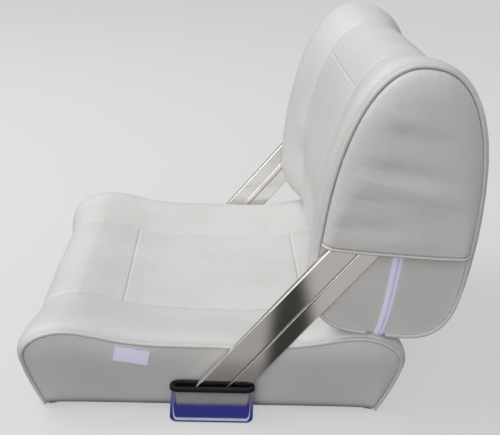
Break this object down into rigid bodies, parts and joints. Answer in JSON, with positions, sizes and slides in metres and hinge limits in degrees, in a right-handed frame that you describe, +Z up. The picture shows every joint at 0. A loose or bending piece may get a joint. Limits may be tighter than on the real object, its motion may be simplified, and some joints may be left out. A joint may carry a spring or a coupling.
{
  "type": "boat helm seat",
  "caption": "Reversible boat helm seat: dished vinyl cushion, side pockets and a double-sided back cushion that flips over on two flat swinging arms.",
  "frame": {"origin": "centre of the seat board's underside, halfway between the two arm pivots, where a pedestal bolts on", "axes": "+Z up, the seat's front edge towards -Y with the back at its rear stop, the sitter's left side towards +X"},
  "size_m": [0.5538, 0.5549, 0.4565],
  "materials": {
    "vinyl": "fine-grained off-white marine vinyl",
    "piping_vinyl": "vinyl-covered cord",
    "foam": "open-cell foam",
    "plywood": "sealed plywood",
    "polished_steel": "polished stainless steel",
    "polished_aluminium": "polished anodised aluminium",
    "black_rubber": "matt black rubber",
    "nylon": "black nylon",
    "webbing": "pale zip and tag webbing"
  },
  "bodies": {
    "seat": {"bracket_screw_left_front_inner": "polished_steel", "bracket_screw_left_front_outer": "polished_steel", "bracket_screw_left_rear_inner": "polished_steel", "bracket_screw_left_rear_outer": "polished_steel", "bracket_screw_right_front_inner": "polished_steel", "bracket_screw_right_front_outer": "polished_steel", "bracket_screw_right_rear_inner": "polished_steel", "bracket_screw_right_rear_outer": "polished_steel", "pivot_bolt_left": "polished_steel", "pivot_bolt_right": "polished_steel", "pivot_spacer_left": "nylon", "pivot_spacer_right": "nylon", "pocket_bracket_left": "polished_steel", "pocket_bracket_right": "polished_steel", "rim_trim_left": "black_rubber", "rim_trim_right": "black_rubber", "seat_board": "plywood", "seat_cover": "vinyl", "seat_foam": "foam", "seat_piping_left": "piping_vinyl", "seat_piping_right": "piping_vinyl", "sewn_tag": "webbing", "tee_nut_front_left": "polished_steel", "tee_nut_front_right": "polished_steel", "tee_nut_rear_left": "polished_steel", "tee_nut_rear_right": "polished_steel"},
    "arms": {"arm_left": "polished_aluminium", "arm_right": "polished_aluminium", "cross_shaft": "polished_steel", "pivot_bush_left": "nylon", "pivot_bush_right": "nylon", "shaft_bolt_left": "polished_steel", "shaft_bolt_right": "polished_steel", "shaft_spacer_left": "nylon", "shaft_spacer_right": "nylon"},
    "back": {"back_board_lower": "plywood", "back_board_upper": "plywood", "back_cover": "vinyl", "back_foam_front": "foam", "back_foam_rear": "foam", "back_piping_left": "piping_vinyl", "back_piping_right": "piping_vinyl", "bearing_block_left": "nylon", "bearing_block_right": "nylon", "block_bolt_left_lower": "polished_steel", "block_bolt_left_upper": "polished_steel", "block_bolt_right_lower": "polished_steel", "block_bolt_right_upper": "polished_steel", "block_nut_left_lower": "polished_steel", "block_nut_left_upper": "polished_steel", "block_nut_right_lower": "polished_steel", "block_nut_right_upper": "polished_steel", "flap_hem_left": "piping_vinyl", "flap_hem_right": "piping_vinyl", "side_flap_left": "vinyl", "side_flap_right": "vinyl", "zip_slider": "polished_steel", "zip_tape": "webbing"}
  },
  "joints": [
    {"name": "arm_swing", "type": "hinge", "parent": "seat", "child": "arms", "pos_m": [0, 0, 0.027], "axis": [1, 0, 0], "range_deg": [0, 78]},
    {"name": "back_tilt", "type": "hinge", "parent": "arms", "child": "back", "pos_m": [0, 0.2171, 0.2951], "axis": [1, 0, 0], "range_deg": [-66.6, 0]}
  ],
  "couplings": [
    {"joint": "back_tilt", "follows": "arm_swing", "ratio": -0.85385}
  ]
}
